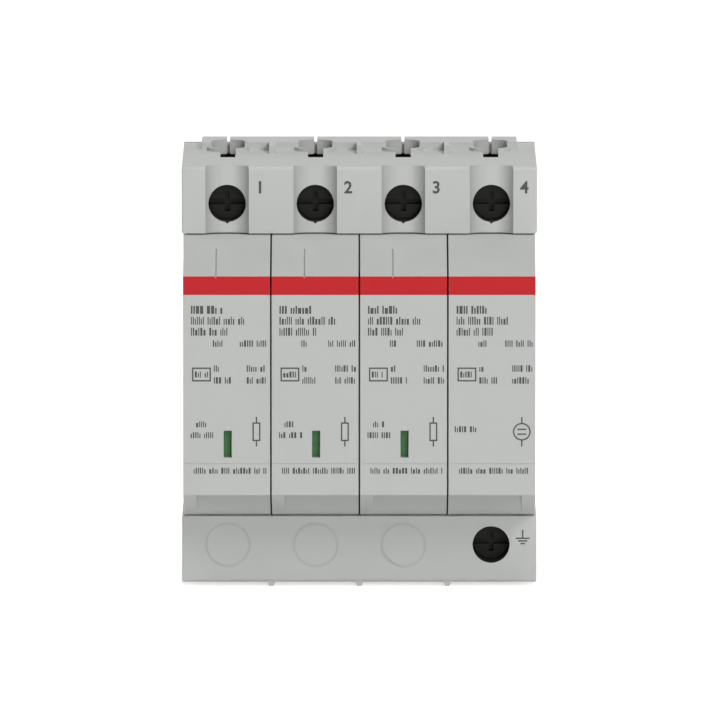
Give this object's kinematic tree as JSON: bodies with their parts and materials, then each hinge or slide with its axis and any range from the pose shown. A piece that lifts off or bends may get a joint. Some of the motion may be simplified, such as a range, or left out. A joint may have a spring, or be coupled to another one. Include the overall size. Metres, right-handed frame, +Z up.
{
  "type": "din rail surge arrester",
  "caption": "Plug-in surge arrester for a top-hat rail: a grey base with screw terminals, pull-out cartridges with a red band and indicator windows, and sprung clips at the back.",
  "frame": {"origin": "middle of the rail seat, on the plane of the rail's front", "axes": "+X along the rail to the right, +Y back into the rail, +Z up"},
  "size_m": [0.0718, 0.0648, 0.0873],
  "materials": {
    "housing": "fine moulded grain",
    "cover": "fine moulded grain",
    "shell": "fine moulded grain",
    "shell_back": "fine moulded grain",
    "copper": "plain copper strip",
    "screw": "burnished",
    "cage": "zinc plated",
    "spring": "drawn wire",
    "varistor": "epoxy coated",
    "carrier": "moulded",
    "flag": "moulded",
    "ceramic": "glazed"
  },
  "bodies": {
    "base": {"base_housing": "housing", "rear_cover": "cover", "neutral_busbar": "copper", "earth_contact": "copper", "line_contact_1": "copper", "line_contact_2": "copper", "line_contact_3": "copper", "clip_spring_1": "spring", "clip_spring_2": "spring"},
    "cartridge_1": {"cartridge_shell_1": "shell", "cartridge_back_1": "shell_back", "upper_blade_1": "copper", "lower_blade_1": "copper", "varistor_1": "varistor", "carrier_1": "carrier", "flag_spring_1": "spring"},
    "cartridge_2": {"cartridge_shell_2": "shell", "cartridge_back_2": "shell_back", "upper_blade_2": "copper", "lower_blade_2": "copper", "varistor_2": "varistor", "carrier_2": "carrier", "flag_spring_2": "spring"},
    "cartridge_3": {"cartridge_shell_3": "shell", "cartridge_back_3": "shell_back", "upper_blade_3": "copper", "lower_blade_3": "copper", "varistor_3": "varistor", "carrier_3": "carrier", "flag_spring_3": "spring"},
    "cartridge_4": {"cartridge_shell_4": "shell", "cartridge_back_4": "shell_back", "upper_blade_4": "copper", "lower_blade_4": "copper", "discharge_tube": "ceramic"},
    "flag_1": {"indicator_flag_1": "flag"},
    "flag_2": {"indicator_flag_2": "flag"},
    "flag_3": {"indicator_flag_3": "flag"},
    "clip_1": {"rail_clip_1": "cover"},
    "clip_2": {"rail_clip_2": "cover"},
    "screw_1": {"terminal_screw_1": "screw"},
    "cage_1": {"terminal_cage_1": "cage"},
    "screw_2": {"terminal_screw_2": "screw"},
    "cage_2": {"terminal_cage_2": "cage"},
    "screw_3": {"terminal_screw_3": "screw"},
    "cage_3": {"terminal_cage_3": "cage"},
    "screw_4": {"terminal_screw_4": "screw"},
    "cage_4": {"terminal_cage_4": "cage"},
    "screw_5": {"terminal_screw_5": "screw"},
    "cage_5": {"terminal_cage_5": "cage"}
  },
  "joints": [
    {"name": "cartridge_1_pull", "type": "slide", "parent": "base", "child": "cartridge_1", "axis": [0, -1, 0], "range_m": [0, 0.045]},
    {"name": "cartridge_2_pull", "type": "slide", "parent": "base", "child": "cartridge_2", "axis": [0, -1, 0], "range_m": [0, 0.045]},
    {"name": "cartridge_3_pull", "type": "slide", "parent": "base", "child": "cartridge_3", "axis": [0, -1, 0], "range_m": [0, 0.045]},
    {"name": "cartridge_4_pull", "type": "slide", "parent": "base", "child": "cartridge_4", "axis": [0, -1, 0], "range_m": [0, 0.045]},
    {"name": "flag_1_slide", "type": "slide", "parent": "cartridge_1", "child": "flag_1", "axis": [0, 0, 1], "range_m": [0, 0.00635], "deforming": ["flag_spring_1"]},
    {"name": "flag_2_slide", "type": "slide", "parent": "cartridge_2", "child": "flag_2", "axis": [0, 0, 1], "range_m": [0, 0.00635], "deforming": ["flag_spring_2"]},
    {"name": "flag_3_slide", "type": "slide", "parent": "cartridge_3", "child": "flag_3", "axis": [0, 0, 1], "range_m": [0, 0.00635], "deforming": ["flag_spring_3"]},
    {"name": "rail_clip_1_slide", "type": "slide", "parent": "base", "child": "clip_1", "axis": [0, 0, -1], "range_m": [0, 0.004], "stiffness_N_per_m": 2000, "springref_m": -0.002, "deforming": ["clip_spring_1"]},
    {"name": "rail_clip_2_slide", "type": "slide", "parent": "base", "child": "clip_2", "axis": [0, 0, -1], "range_m": [0, 0.004], "stiffness_N_per_m": 2000, "springref_m": -0.002, "deforming": ["clip_spring_2"]},
    {"name": "screw_1_turn", "type": "hinge", "parent": "base", "child": "screw_1", "pos_m": [-0.0267, -0.03, 0.03472], "axis": [0, 1, 0], "range_deg": [0, 2160]},
    {"name": "cage_1_lift", "type": "slide", "parent": "base", "child": "cage_1", "axis": [0, -1, 0], "range_m": [0, 0.0048]},
    {"name": "screw_2_turn", "type": "hinge", "parent": "base", "child": "screw_2", "pos_m": [-0.0089, -0.03, 0.03472], "axis": [0, 1, 0], "range_deg": [0, 2160]},
    {"name": "cage_2_lift", "type": "slide", "parent": "base", "child": "cage_2", "axis": [0, -1, 0], "range_m": [0, 0.0048]},
    {"name": "screw_3_turn", "type": "hinge", "parent": "base", "child": "screw_3", "pos_m": [0.0089, -0.03, 0.03472], "axis": [0, 1, 0], "range_deg": [0, 2160]},
    {"name": "cage_3_lift", "type": "slide", "parent": "base", "child": "cage_3", "axis": [0, -1, 0], "range_m": [0, 0.0048]},
    {"name": "screw_4_turn", "type": "hinge", "parent": "base", "child": "screw_4", "pos_m": [0.0267, -0.03, 0.03472], "axis": [0, 1, 0], "range_deg": [0, 2160]},
    {"name": "cage_4_lift", "type": "slide", "parent": "base", "child": "cage_4", "axis": [0, -1, 0], "range_m": [0, 0.0048]},
    {"name": "screw_5_turn", "type": "hinge", "parent": "base", "child": "screw_5", "pos_m": [0.0267, -0.03, -0.03472], "axis": [0, 1, 0], "range_deg": [0, 2160]},
    {"name": "cage_5_lift", "type": "slide", "parent": "base", "child": "cage_5", "axis": [0, -1, 0], "range_m": [0, 0.0048]}
  ],
  "couplings": [
    {"joint": "screw_1_turn", "follows": "cage_1_lift", "rad_per_m": 7854},
    {"joint": "screw_2_turn", "follows": "cage_2_lift", "rad_per_m": 7854},
    {"joint": "screw_3_turn", "follows": "cage_3_lift", "rad_per_m": 7854},
    {"joint": "screw_4_turn", "follows": "cage_4_lift", "rad_per_m": 7854},
    {"joint": "screw_5_turn", "follows": "cage_5_lift", "rad_per_m": 7854}
  ]
}
